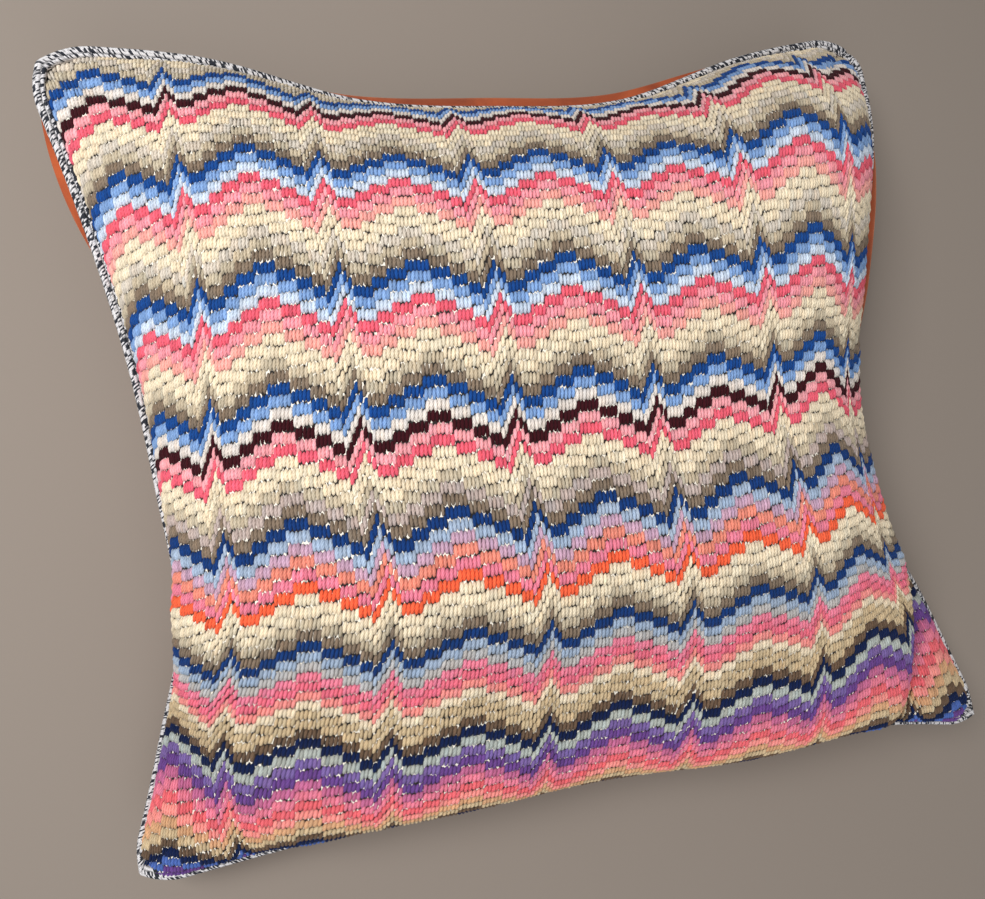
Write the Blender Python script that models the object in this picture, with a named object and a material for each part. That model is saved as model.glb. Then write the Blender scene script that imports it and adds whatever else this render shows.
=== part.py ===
"""Square needlepoint cushion lying on its back.

Three pieces: the filled body under the needlepoint front, the velvet back panel
that cups its underside, and the piping sewn into the seam all the way round.
The face looks up (+Z), the top edge of the face is towards +Y, and the origin is
on the surface below the middle of the cushion.
"""
import math

import bmesh
import bpy
from mathutils import Vector

MM = 0.001

# Driving dimensions
FLAT_SIDE = 470 * MM          # the needlepoint between its seams, laid flat
HALF_SIDE = FLAT_SIDE / 2
SEAM_HEIGHT = 47 * MM         # the seam above the surface, before its lifts
CORNER_RADIUS = 28 * MM       # the seam turns each corner on this radius
CORNER_ROUNDING = 8           # how fast the rings inside the seam turn square

CROWN_RISE = 110 * MM         # the top of the crown above the seam
CROWN_POWER = 0.60            # below 1 the crown leaves the seam steeply
CROWN_FULLER_RIGHT = 0.09

BELLY_DROP = 78 * MM          # the underside below the seam, before the surface flattens it
BELLY_POWER = 0.70

BULGE_SPAN = 0.16             # how far in from the seam a side swells, as a share of the half side
BULGE_ENDS = 0.8              # how soon the swelling dies out towards the corners

PANEL_THICKNESS = 1.6 * MM
PIPING_RADIUS = 2.5 * MM
PIPING_OUT = 2.95 * MM        # the piping's middle outside the body's edge
PIPING_UP = 2.1 * MM          # and above it
PIPING_PUSH = 0.10            # how far the swelling front pushes it on
CLEARANCE = 0.35 * MM

GRID_STEPS = 38               # squares across the cushion each way
SEAM_STEP = 0.04              # where, just inside the seam, the front's swelling is read
GRID_CROWDING = 0.30          # how much closer together the squares lie at the seam
FOLDS_FADE = 12               # how soon the folds die out at the seam
RIM_UPRIGHT = 0.65            # how far the sheets' rims are turned to stand straight up

# The seam between two corners: place along the side from -1 to 1, how far the
# filling draws the seam in, and how far it lifts it, in millimetres.
SEAM_COLUMNS = ("along", "drawn_in", "lift")
SEAM_SIDES = {
    "top": ((-0.667, 6, 8), (-0.333, 27, -5), (0, 33, -10), (0.333, 31, -15), (0.667, 12, -5)),
    "left": ((-0.667, 18, -24), (-0.333, 40, 10), (0, 30, -7), (0.333, 24, 2), (0.667, 14, 14)),
    "right": ((-0.667, 4, -18), (-0.333, 42, 1), (0, 35, -15), (0.333, 31, 9), (0.667, 25, 28)),
    "bottom": ((-0.667, 21, -1), (-0.333, 35, 6), (0, 36, -6), (0.333, 33, 9), (0.667, 29, 20)),
}

# The corners, pulled out past the square or held in, in millimetres.
CORNER_COLUMNS = ("side_x", "side_y", "move_x", "move_y", "lift")
CORNERS = {
    "top_left": (-1, 1, -15, -4, 18),
    "top_right": (1, 1, 4, 4, -7),
    "bottom_left": (-1, -1, -26, 26, -12),
    "bottom_right": (1, -1, 25, 24, 10),
}
SIDE_ENDS = {
    "top": ("top_left", "top_right"),
    "bottom": ("bottom_left", "bottom_right"),
    "left": ("bottom_left", "top_left"),
    "right": ("bottom_right", "top_right"),
}

# How far each side of the front and of the back swells past a straight slope, in
# millimetres, and how much more the front does so for each half side towards +X or +Y.
BULGE_COLUMNS = ("front", "front_slope", "back")
BULGES = {"top": (2, 0, 44), "left": (13, -22, 33), "right": (-2, 3, 30), "bottom": (22, 2, 34)}

# Creases where the crown meets a pulled-out corner, and the fold down the right side.
# Each runs anticlockwise, from and to given as shares of the half side; half width, depth
# and how far the crown leans out over the crease are in millimetres.
FOLD_COLUMNS = ("name", "from_x", "from_y", "to_x", "to_y", "half_width", "depth", "lean")
FOLDS = (
    ("bottom left crease", -1.00, -0.34, -0.70, -1.00, 18, 7, 4),
    ("bottom right crease", 0.70, -1.00, 1.00, -0.42, 13, 13, 6),
    ("right side fold", 0.91, -0.45, 0.93, 0.10, 8, 5, 4),
)

VELVET = {"hex": "B5552B", "roughness": 0.9}
NEEDLEPOINT = {"hex": "D9B9AC", "roughness": 0.95}
FLECKED_CORD = {"hex": "8C8B90", "roughness": 0.85}


def clear_scene():
    """Remove every object of the scene."""
    for old in list(bpy.data.objects):
        bpy.data.objects.remove(old, do_unlink=True)


def linear(hex_colour):
    """The linear colour of an sRGB hex value, with full alpha."""
    parts = [int(hex_colour[i:i + 2], 16) / 255 for i in (0, 2, 4)]
    return [((p + 0.055) / 1.055) ** 2.4 if p > 0.04045 else p / 12.92 for p in parts] + [1]


def make_material(name, look):
    """A Principled material with a colour and a roughness."""
    material = bpy.data.materials.new(name)
    material.use_nodes = True
    shader = material.node_tree.nodes["Principled BSDF"]
    shader.inputs["Base Color"].default_value = linear(look["hex"])
    shader.inputs["Roughness"].default_value = look["roughness"]
    shader.inputs["Metallic"].default_value = 0
    material.diffuse_color = linear(look["hex"])
    return material


def smooth_table(values, along):
    """A smooth curve through evenly spaced values, read at a place from -1 to 1."""
    last = len(values) - 1
    place = min(max((along + 1) / 2 * last, 0), last - 1e-9)
    start = int(place)
    part = place - start
    before = values[start - 1] if start > 0 else 2 * values[0] - values[1]
    after = values[start + 2] if start + 2 <= last else 2 * values[last] - values[last - 1]
    here, there = values[start], values[start + 1]
    return 0.5 * (2 * here + (there - before) * part
                  + (2 * before - 5 * here + 4 * there - after) * part ** 2
                  + (3 * here - before - 3 * there + after) * part ** 3)


def seam_side(side, along):
    """How far a side of the seam is drawn in and lifted at a place along it."""
    first, last = SIDE_ENDS[side]
    lift_column = CORNER_COLUMNS.index("lift")
    drawn_in = [0] + [row[1] for row in SEAM_SIDES[side]] + [0]
    lift = ([CORNERS[first][lift_column]] + [row[2] for row in SEAM_SIDES[side]]
            + [CORNERS[last][lift_column]])
    return smooth_table(drawn_in, along) * MM, smooth_table(lift, along) * MM


def round_corner(x, y):
    """Move a point of the square so that the rings near the seam have round corners."""
    ring = max(abs(x), abs(y))
    radius = CORNER_RADIUS / HALF_SIDE * ring ** CORNER_ROUNDING
    inner = ring - radius
    over_x, over_y = abs(x) - inner, abs(y) - inner
    if over_x <= 0 or over_y <= 0:
        return x, y
    scale = radius / math.hypot(over_x, over_y)
    return (math.copysign(inner + over_x * scale, x), math.copysign(inner + over_y * scale, y))


def fold_shift(x, y):
    """How far the creases and the fold lean the crown out, and pull it down, at a point."""
    shift = Vector((0, 0, 0))
    for _, from_x, from_y, to_x, to_y, half_width, depth, lean in FOLDS:
        run = Vector((to_x - from_x, to_y - from_y))
        out = Vector((run.y, -run.x)).normalized()
        offset = Vector((x - from_x, y - from_y))
        share = min(max(offset.dot(run) / run.length_squared, 0), 1)
        offset = (offset - run * share) * HALF_SIDE / (half_width * MM)
        shift.z -= depth * MM * math.exp(-offset.length_squared)
        lean *= MM * math.exp(-(offset + out).length_squared)
        shift += Vector((out.x * lean, out.y * lean, 0))
    return shift


def seam_plane(x, y):
    """Plan place and seam height under a point of the square, between the four sides."""
    plan_x, plan_y = round_corner(x, y)
    right, top = (1 + x) / 2, (1 + y) / 2
    top_in, top_lift = seam_side("top", x)
    bottom_in, bottom_lift = seam_side("bottom", x)
    left_in, left_lift = seam_side("left", y)
    right_in, right_lift = seam_side("right", y)
    place_x = HALF_SIDE * plan_x + (1 - right) * left_in - right * right_in
    place_y = HALF_SIDE * plan_y - top * top_in + (1 - top) * bottom_in
    height = (1 - right) * left_lift + right * right_lift + top * top_lift + (1 - top) * bottom_lift
    for side_x, side_y, move_x, move_y, lift in CORNERS.values():
        weight = (1 + side_x * x) / 2 * (1 + side_y * y) / 2
        place_x += move_x * MM * weight ** 2
        place_y += move_y * MM * weight ** 2
        height -= lift * MM * weight
    return place_x, place_y, SEAM_HEIGHT + height


def swell(edge, other):
    """The share of a side's bulge at a distance from it, between its two corners."""
    steps = edge / BULGE_SPAN
    return steps * math.exp(1 - steps) * max(1 - other * other, 0) ** BULGE_ENDS


def bulge(face, x, y):
    """How far the filling pushes a face out in plan near the four sides."""
    far = {}
    for side, (front, front_slope, back) in BULGES.items():
        along = x if side in ("top", "bottom") else y
        far[side] = (front + front_slope * along if face == "front" else back) * MM
    return (far["right"] * swell(1 - x, y) - far["left"] * swell(1 + x, y),
            far["top"] * swell(1 - y, x) - far["bottom"] * swell(1 + y, x))


def crown_point(x, y):
    """A point of the needlepoint face."""
    place_x, place_y, height = seam_plane(x, y)
    out_x, out_y = bulge("front", x, y)
    inside = max((1 - x * x) * (1 - y * y), 0)
    fuller = 1 + CROWN_FULLER_RIGHT * x
    shift = fold_shift(x, y) * min(inside * FOLDS_FADE, 1)
    rise = max(CROWN_RISE * inside ** CROWN_POWER * fuller + shift.z, 0)
    return Vector((place_x + out_x + shift.x, place_y + out_y + shift.y, height + rise))


def belly_point(x, y):
    """A point of the back panel's outer face, flat where it lies on the surface."""
    place_x, place_y, height = seam_plane(x, y)
    out_x, out_y = bulge("back", x, y)
    inside = max((1 - x * x) * (1 - y * y), 0)
    height = max(height - BELLY_DROP * inside ** BELLY_POWER, 0)
    return Vector((place_x + out_x, place_y + out_y, height))


def crowd(share):
    """Bring evenly spaced grid lines closer together at the seam."""
    return (1 - GRID_CROWDING) * share + GRID_CROWDING * math.sin(math.pi / 2 * share)


def shaped_grid(name, point_at):
    """A grid of squares, each corner moved to its place on a face of the cushion."""
    grid = bmesh.new()
    bmesh.ops.create_grid(grid, x_segments=GRID_STEPS, y_segments=GRID_STEPS, size=1)
    for vert in grid.verts:
        vert.co = point_at(crowd(vert.co.x), crowd(vert.co.y))
    bmesh.ops.recalc_face_normals(grid, faces=grid.faces)
    grid.faces.ensure_lookup_table()
    if sum(face.normal.z for face in grid.faces) < 0:
        bmesh.ops.reverse_faces(grid, faces=grid.faces)
    mesh = bpy.data.meshes.new(name)
    grid.to_mesh(mesh)
    grid.free()
    return mesh


def move_along_normals(mesh, distance):
    """Move a face's points along their normals, straight up or down at its rim."""
    shape = bmesh.new()
    shape.from_mesh(mesh)
    shape.normal_update()
    moves = []
    for vert in shape.verts:
        normal = vert.normal.copy()
        if vert.is_boundary:
            upright = Vector((0, 0, RIM_UPRIGHT))
            normal = (normal * (1 - RIM_UPRIGHT) + upright).normalized()
        moves.append(normal * distance)
    for vert, move in zip(shape.verts, moves):
        vert.co += move
    shape.to_mesh(mesh)
    shape.free()


def add_object(name, mesh, material, collection):
    """Put a mesh in the collection as a smooth shaded object."""
    mesh.materials.append(material)
    mesh.shade_smooth()
    piece = bpy.data.objects.new(name, mesh)
    collection.objects.link(piece)
    return piece


def belly_mesh(name, above):
    """The underside's face, a distance above the back panel's outer face."""
    mesh = shaped_grid(name, belly_point)
    if above:
        move_along_normals(mesh, above)
    return mesh


def build_body(collection):
    """The filled body: crown above and underside below, joined at the seam."""
    above = PANEL_THICKNESS + CLEARANCE
    crown = shaped_grid("crown", crown_point)
    belly = belly_mesh("filled_cushion", above)
    body = bmesh.new()
    body.from_mesh(belly)
    bmesh.ops.reverse_faces(body, faces=body.faces)
    belly_count = len(body.verts)
    body.from_mesh(crown)
    body.verts.ensure_lookup_table()
    body.verts.index_update()
    for vert in body.verts[belly_count:]:
        if vert.is_boundary:
            vert.co = body.verts[vert.index - belly_count].co
    bmesh.ops.remove_doubles(body, verts=body.verts, dist=0.01 * MM)
    bmesh.ops.triangulate(body, faces=body.faces)
    body.to_mesh(belly)
    body.free()
    bpy.data.meshes.remove(crown)
    material = make_material("stitched wool", NEEDLEPOINT)
    return add_object("filled_cushion", belly, material, collection)


def build_panel(collection):
    """The velvet back panel: a thin sheet under the body, up to the seam."""
    outer = belly_mesh("back_panel", 0)
    inner = belly_mesh("inner", PANEL_THICKNESS)
    sheet = bmesh.new()
    sheet.from_mesh(outer)
    bmesh.ops.reverse_faces(sheet, faces=sheet.faces)
    sheet.from_mesh(inner)
    rims = [edge for edge in sheet.edges if edge.is_boundary]
    bmesh.ops.bridge_loops(sheet, edges=rims)
    bmesh.ops.recalc_face_normals(sheet, faces=sheet.faces)
    bmesh.ops.triangulate(sheet, faces=sheet.faces)
    sheet.to_mesh(outer)
    sheet.free()
    bpy.data.meshes.remove(inner)
    material = make_material("rust velvet", VELVET)
    return add_object("back_panel", outer, material, collection)


def seam_loop():
    """Places round the seam in order, one at each grid line, with the front's swelling there."""
    lines = [crowd(-1 + 2 * step / GRID_STEPS) for step in range(GRID_STEPS)]
    sides = ((lambda s: (s, -1)), (lambda s: (1, s)), (lambda s: (-s, 1)), (lambda s: (-1, -s)))
    loop = []
    for side in sides:
        for line in lines:
            x, y = side(line)
            push = Vector(bulge("front", (1 - SEAM_STEP) * x, (1 - SEAM_STEP) * y)).length
            loop.append((Vector(seam_plane(x, y)), push * PIPING_PUSH))
    return loop


def build_piping(collection):
    """The piping: a round cord just outside the body's edge, all the way round."""
    loop = seam_loop()
    rise = Vector((0, 0, PANEL_THICKNESS + CLEARANCE + PIPING_UP))
    curve = bpy.data.curves.new("piping", "CURVE")
    curve.dimensions = "3D"
    curve.bevel_depth = PIPING_RADIUS
    curve.bevel_resolution = 2
    spline = curve.splines.new("POLY")
    spline.points.add(len(loop) - 1)
    spline.use_cyclic_u = True
    for index, (point, push) in enumerate(loop):
        run = loop[(index + 1) % len(loop)][0] - loop[index - 1][0]
        outward = Vector((run.y, -run.x, 0)).normalized()
        spline.points[index].co = (*(point + rise + outward * (PIPING_OUT + push)), 1)
    curve.materials.append(make_material("flecked cord", FLECKED_CORD))
    piece = bpy.data.objects.new("piping", curve)
    collection.objects.link(piece)
    return piece


def centre_on_origin(pieces, widest):
    """Move the pieces in plan so that the widest one's box is centred on the origin."""
    bpy.context.view_layer.update()
    corners = [Vector(corner) for corner in widest.bound_box]
    for axis in (0, 1):
        places = [corner[axis] for corner in corners]
        for piece in pieces:
            piece.location[axis] = -(min(places) + max(places)) / 2


def main():
    """Build the cushion's pieces in a collection named for it."""
    clear_scene()
    collection = bpy.data.collections.new("needlepoint_cushion")
    bpy.context.scene.collection.children.link(collection)
    body = build_body(collection)
    panel = build_panel(collection)
    piping = build_piping(collection)
    centre_on_origin((body, panel, piping), piping)


main()
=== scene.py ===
"""Looks of a square needlepoint cushion: flame stitch front, velvet back, flecked piping."""
import math

import bmesh
import bpy
import numpy as np
from bpy.props import FloatProperty, FloatVectorProperty, IntProperty, PointerProperty
from mathutils import Matrix, Vector


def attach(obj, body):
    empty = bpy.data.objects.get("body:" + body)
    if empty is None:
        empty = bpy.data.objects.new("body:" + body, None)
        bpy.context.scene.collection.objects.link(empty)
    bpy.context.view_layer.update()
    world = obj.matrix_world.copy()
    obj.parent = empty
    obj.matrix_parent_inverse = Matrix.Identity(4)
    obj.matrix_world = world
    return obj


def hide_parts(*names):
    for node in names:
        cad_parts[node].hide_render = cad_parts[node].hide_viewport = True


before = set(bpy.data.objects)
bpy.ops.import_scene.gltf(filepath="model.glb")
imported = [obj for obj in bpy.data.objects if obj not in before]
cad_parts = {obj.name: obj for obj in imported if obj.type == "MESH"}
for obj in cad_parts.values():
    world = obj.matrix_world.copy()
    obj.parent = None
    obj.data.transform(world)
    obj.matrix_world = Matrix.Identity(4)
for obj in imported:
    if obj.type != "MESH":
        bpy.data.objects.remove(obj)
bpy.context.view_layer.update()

bl_info = {
    "name": "Needlepoint cushion",
    "version": (1, 0, 0),
    "blender": (4, 5, 0),
    "location": "3D View > Sidebar > Cushion",
    "description": "Stitches, canvas, velvet back and piping of a flame stitch cushion",
    "category": "Object",
}

MM = 0.001
BODY = "root"

# The cushion's form, as its maker would give it
HALF_SIDE = 235 * MM
SEAM_HEIGHT = 47 * MM
CORNER_RADIUS = 28 * MM
CORNER_ROUNDING = 8
CROWN_RISE = 110 * MM
CROWN_POWER = 0.60
CROWN_FULLER_RIGHT = 0.09
BELLY_DROP = 78 * MM
BELLY_POWER = 0.70
BULGE_SPAN = 0.16             # how far in from the seam a side swells, as a share of the half side
BULGE_ENDS = 0.8
PANEL_THICKNESS = 1.6 * MM
PIPING_OUT = 2.95 * MM
PIPING_UP = 2.1 * MM
PIPING_PUSH = 0.10
SEAM_STEP = 0.04
CLEARANCE = 0.35 * MM
FOLDS_FADE = 12
CLOTH_STRETCH = 0.20          # how much wider apart the columns lie on the crown than at the seam
RIM_TUCK = 0.7                # how much closer to the seam the outermost stitches lie
RIM_TUCK_DEPTH = 0.03
RIM_LIFT_DEPTH = 0.04         # how soon the needlepoint comes down from the thickness of the velvet
EAR_TUCK = 3.4 * MM           # how far the edge rolls over the piping at the two bottom corners
EAR_REACH = 80 * MM
EAR_DROP = 0.4                # how far the piping drops there, as a share of the tuck

SEAM_COLUMNS = ("along", "drawn_in", "lift")
SEAM_SIDES = {
    "top": ((-0.667, 6, 8), (-0.333, 27, -5), (0, 33, -10), (0.333, 31, -15), (0.667, 12, -5)),
    "left": ((-0.667, 18, -24), (-0.333, 40, 10), (0, 30, -7), (0.333, 24, 2), (0.667, 14, 14)),
    "right": ((-0.667, 4, -18), (-0.333, 42, 1), (0, 35, -15), (0.333, 31, 9), (0.667, 25, 28)),
    "bottom": ((-0.667, 21, -1), (-0.333, 35, 6), (0, 36, -6), (0.333, 33, 9), (0.667, 29, 20)),
}
CORNERS = {
    "top_left": (-1, 1, -15, -4, 18),
    "top_right": (1, 1, 4, 4, -7),
    "bottom_left": (-1, -1, -26, 26, -12),
    "bottom_right": (1, -1, 25, 24, 10),
}
SIDE_ENDS = {
    "top": ("top_left", "top_right"),
    "bottom": ("bottom_left", "bottom_right"),
    "left": ("bottom_left", "top_left"),
    "right": ("bottom_right", "top_right"),
}
# How far each side of the front and of the back swells past a straight slope, in
# millimetres, and how much more the front does so for each half side towards +X or +Y.
BULGE_COLUMNS = ("front", "front_slope", "back")
BULGES = {"top": (2, 0, 44), "left": (13, -22, 33), "right": (-2, 3, 30), "bottom": (22, 2, 34)}

# Creases where the crown meets a pulled-out corner, and the fold down the right side.
# Each runs anticlockwise, from and to given as shares of the half side; half width, depth
# and how far the crown leans out over the crease are in millimetres.
FOLD_COLUMNS = ("name", "from_x", "from_y", "to_x", "to_y", "half_width", "depth", "lean")
FOLDS = (
    ("bottom left crease", -1.00, -0.34, -0.70, -1.00, 18, 7, 4),
    ("bottom right crease", 0.70, -1.00, 1.00, -0.42, 13, 13, 6),
    ("right side fold", 0.91, -0.45, 0.93, 0.10, 8, 5, 4),
)

# Where the velvet rolls out under the piping: the side, from and to as shares of the half
# side, and how far out in millimetres
ROLL_COLUMNS = ("side", "from", "to", "out")
ROLLS = (("left", 0.50, 1.00, 11), ("right", -0.10, 0.90, 16), ("top", -0.90, -0.45, 5))
ROLL_DEPTH = 0.02

# Where the cloth is pulled aside over the filling: the middle of the pull, how far round it
# the pull is felt, and how far it moves the rows, all as shares of the half side
PULL_COLUMNS = ("middle_x", "middle_y", "reach", "across", "up")
PULLS = (
    (-1.00, -0.70, 0.30, 0.00, 0.065), (1.00, -0.78, 0.32, 0.00, 0.085),
    (0.42, 0.60, 0.40, -0.040, 0.00), (0.85, 0.45, 0.50, 0.00, -0.036),
)

# Tapestry wools, as sRGB
YARNS = {
    "royal_blue": "15488F",
    "light_blue": "86A9DA",
    "ice": "D3E0F0",
    "white_grey": "EDE2D8",
    "maroon": "3C0A14",
    "light_pink": "FBACB2",
    "coral_pink": "F26679",
    "pink": "FBA0AA",
    "salmon_pink": "FCAFA4",
    "cream": "F5E4C6",
    "greige": "DCD0C0",
    "beige": "CDBEA4",
    "taupe": "8A7866",
    "lilac_grey": "C4B2AA",
    "navy_royal": "123A78",
    "pale_blue_grey": "A9BBD2",
    "lilac": "CFA8BE",
    "peach": "F3937E",
    "rose": "F0869C",
    "orange": "FF6A44",
    "beige_grey": "C6C2C0",
    "hot_pink": "FB8CA4",
    "deep_pink": "F97A90",
    "salmon": "FF9E96",
    "tan": "D6BE98",
    "brown": "705A48",
    "dark_navy": "0C1F4A",
    "pale_green_grey": "B9BFB8",
    "blue_purple": "8068A6",
    "purple": "6E4890",
    "mauve": "CC7098",
    "coral": "F37078",
    "bottom_beige": "E0AE84",
    "periwinkle": "5270BA",
}

# Rows of stitches from the top seam down, before the chart shifts them
ROWS_ABOVE = ("greige", "cream", "cream")
ROWS = (
    ("greige", "beige")
    + ("royal_blue", "light_blue", "white_grey", "maroon", "light_pink", "coral_pink")
    + ("cream", "cream", "greige", "beige", "taupe")
    + ("royal_blue", "light_blue", "ice", "coral_pink", "pink", "salmon_pink")
    + ("cream", "cream", "greige", "beige", "taupe")
    + ("royal_blue", "light_blue", "ice", "coral_pink", "pink", "salmon_pink")
    + ("cream", "cream", "beige", "taupe")
    + ("royal_blue", "light_blue", "white_grey", "maroon", "light_pink", "coral_pink")
    + ("cream", "cream", "beige", "lilac_grey", "taupe")
    + ("navy_royal", "pale_blue_grey", "lilac", "peach", "rose", "orange")
    + ("cream", "cream", "beige", "taupe")
    + ("navy_royal", "pale_blue_grey", "beige_grey", "hot_pink", "deep_pink", "salmon")
    + ("cream", "tan", "tan", "brown")
    + ("dark_navy", "pale_green_grey", "blue_purple", "purple", "mauve", "rose", "coral", "salmon")
    + ("bottom_beige", "tan", "brown")
    + ("dark_navy", "periwinkle", "purple", "purple")
)

# The flame stitch chart: columns in a block, and how many quarter stitches it sits down
CHART_COLUMNS = ("columns", "quarters_down")
CHART = (
    (1, 1), (1, 4), (1, 6), (5, 9), (4, 6), (5, 3), (6, 0),
    (5, 3), (4, 6), (3, 9), (1, 11), (1, 9), (1, 6), (1, 4),
)
QUARTERS = 4

# One stitch, which runs a little way into the holes at its two ends: places along it and
# across it, with its width and height there, its painted shade, and how much of the darker next wool shows at
# its ends, partly as painted shade
ALONG_COLUMNS = ("along", "width", "height", "shade", "next_wool_shade")
STITCH_ALONG = (
    (-0.07, 0.40, -0.22, 0.50, 0.25), (0.12, 0.93, 0.64, 0.93, 0.05), (0.50, 1.18, 1.00, 1.00, 0.00),
    (0.88, 0.93, 0.64, 0.93, 0.05), (1.07, 0.40, -0.22, 0.36, 0.25),
)
ACROSS_COLUMNS = ("across", "height", "shade")
# Across a stitch: its height and its painted shade, darker at its sides where shade falls between the columns
STITCH_ACROSS = (
    (-1.0, 0.0, 0.62), (-0.6, 0.74, 0.93), (0.0, 1.0, 1.0), (0.6, 0.74, 0.93), (1.0, 0.0, 0.62),
)

# Wools worked more slackly, so that holes and canvas show between their ends
SLACK_WOOLS = ("greige", "beige", "taupe", "lilac_grey", "brown", "tan")
SLACK = 0.92
STITCH_LEAN = -0.40           # how far the lower end of a stitch leans, in halves of a column

# How uneven hand stitching is, as one standard deviation
UNEVEN_WIDTH = 0.07
UNEVEN_HEIGHT = 0.10
UNEVEN_LEAN = 0.10
UNEVEN_ENDS = 0.055           # of a row
UNEVEN_SHADE = 0.08
UNEVEN_WARMTH = 0.02

LEAST_STITCH = 0.2            # the smallest part of a stitch that is worked at an edge, in rows
YARN_IN_STITCH = 3.2          # length of a stitch in halves of its width
YARN_START = 30               # how far apart on the yarn the patterns of stitches may start

# The piping cut across: a cord, and the flange it is sewn by on its inner side
OUTLINE_COLUMNS = ("outward", "up")
PIPING_OUTLINE = (
    (2.30, 0.00), (2.13, 0.88), (1.63, 1.63), (0.88, 2.13), (0.00, 2.30), (-0.80, 2.10), (-1.30, 1.60),
    (-1.60, 0.90), (-1.95, 2.00), (-2.60, 2.45), (-3.30, 2.25), (-3.80, 1.40), (-3.80, 0.20),
    (-3.20, -0.90), (-2.20, -1.45), (-1.10, -1.95), (0.00, -2.25), (0.88, -2.08), (1.63, -1.63),
    (2.13, -0.88),
)
GROOVE_POINT = 7              # the point of the outline between the cord and the flange
GROOVE_HALF_WIDTH = 0.7       # millimetres
FLOATS_PER_MM = (1.15, 0.50, 1.0)   # floats of yarn along and round the piping, about 0.9 by 2 mm each
FLOAT_LEAN = 0.55

PLY_SLANT = 0.9               # how far the plies of the wool slant along a stitch
WOOL_RELIEF = 0.25 * MM
CLOTH_RELIEF = 0.4 * MM

UNDERSIDE_SWELL = 0.4         # how much of the velvet's swell the filling inside it takes
VELVET_STEPS = 150
SLOPE_STEP = 0.004            # the step over which a face's slope is taken
HALVINGS = 20                 # times that a ring of the square is narrowed down
MERGE_DISTANCE = 0.01 * MM
GROUND_STEPS = (259, 160)
PIPING_STEPS_PER_SIDE = 150
SEED = 11

# The camera, from the place of the seam and the stitches in the picture
CAMERA_AZIMUTH = 1.5896
CAMERA_ELEVATION = 1.3798
CAMERA_ROLL = -0.1269
CAMERA_DISTANCE = 0.4082
CAMERA_TARGET = (-0.0411, 0.0023, 0.040 + SEAM_HEIGHT)
IMAGE_WIDTH = 985
FOCAL_PIXELS = 765.3
SENSOR = 36.0
CAMERA_NEAR = 0.01

# The lights, all turned to the cushion's middle
LIGHT_COLUMNS = ("name", "place", "size", "power")
LIGHTS = (
    ("key", (-0.50, 0.25, 0.90), 0.35, 7.9),
    ("fill", (-0.2, -1.0, 1.1), 1.0, 4.6),
)
WORLD_LIGHT = 0.40
FLOOR_SIZE = 12
FLOOR_DROP = 0.2 * MM


def linear(hex_colour):
    """The linear colour of an sRGB hex value."""
    parts = [int(hex_colour[i:i + 2], 16) / 255 for i in (0, 2, 4)]
    return [((p + 0.055) / 1.055) ** 2.4 if p > 0.04045 else p / 12.92 for p in parts]


def add_node(tree, kind, inputs=(), **settings):
    """Add a node with its settings, and set or link its inputs."""
    node = tree.nodes.new(kind)
    for key, value in settings.items():
        setattr(node, key, value)
    for key, value in dict(inputs).items():
        if isinstance(value, bpy.types.NodeSocket):
            tree.links.new(value, node.inputs[key])
        else:
            node.inputs[key].default_value = value
    return node


def new_material(name):
    """An empty node material with a Principled shader, and its tree."""
    material = bpy.data.materials.new(name)
    material.use_nodes = True
    tree = material.node_tree
    return material, tree, tree.nodes["Principled BSDF"]


# Form of the cushion

def smooth_table(values, along):
    """A smooth curve through evenly spaced values, read at places from -1 to 1."""
    values = np.asarray(values, float)
    last = len(values) - 1
    place = np.clip((along + 1) / 2 * last, 0, last - 1e-9)
    start = place.astype(int)
    part = place - start
    padded = np.concatenate(([2 * values[0] - values[1]], values, [2 * values[-1] - values[-2]]))
    before, here, there, after = (padded[start + step] for step in range(4))
    return 0.5 * (2 * here + (there - before) * part
                  + (2 * before - 5 * here + 4 * there - after) * part ** 2
                  + (3 * here - before - 3 * there + after) * part ** 3)


def seam_side(side, along):
    """How far a side of the seam is drawn in and lifted at places along it."""
    first, last = SIDE_ENDS[side]
    drawn_in = [0] + [row[1] for row in SEAM_SIDES[side]] + [0]
    lift = [CORNERS[first][4]] + [row[2] for row in SEAM_SIDES[side]] + [CORNERS[last][4]]
    return smooth_table(drawn_in, along) * MM, smooth_table(lift, along) * MM


def round_corner(x, y):
    """Move points of the square so that the rings near the seam have round corners."""
    ring = np.maximum(np.abs(x), np.abs(y))
    radius = CORNER_RADIUS / HALF_SIDE * ring ** CORNER_ROUNDING
    inner = ring - radius
    over_x, over_y = np.abs(x) - inner, np.abs(y) - inner
    turn = (over_x > 0) & (over_y > 0)
    scale = np.where(turn, radius / np.maximum(np.hypot(over_x, over_y), 1e-9), 1)
    new_x = np.where(turn, np.sign(x) * (inner + over_x * scale), x)
    new_y = np.where(turn, np.sign(y) * (inner + over_y * scale), y)
    return new_x, new_y


def fold_shift(x, y):
    """How far the creases and the fold lean the crown out, and pull it down."""
    shift = np.zeros((*np.shape(x), 3))
    for _, from_x, from_y, to_x, to_y, half_width, depth, lean in FOLDS:
        run_x, run_y = to_x - from_x, to_y - from_y
        out_x, out_y = run_y / math.hypot(run_x, run_y), -run_x / math.hypot(run_x, run_y)
        share = np.clip(((x - from_x) * run_x + (y - from_y) * run_y) / (run_x ** 2 + run_y ** 2), 0, 1)
        wide = HALF_SIDE / (half_width * MM)
        away_x, away_y = (x - from_x - run_x * share) * wide, (y - from_y - run_y * share) * wide
        shift[..., 2] -= depth * MM * np.exp(-away_x ** 2 - away_y ** 2)
        leaning = lean * MM * np.exp(-(away_x + out_x) ** 2 - (away_y + out_y) ** 2)
        shift[..., 0] += out_x * leaning
        shift[..., 1] += out_y * leaning
    return shift


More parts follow.
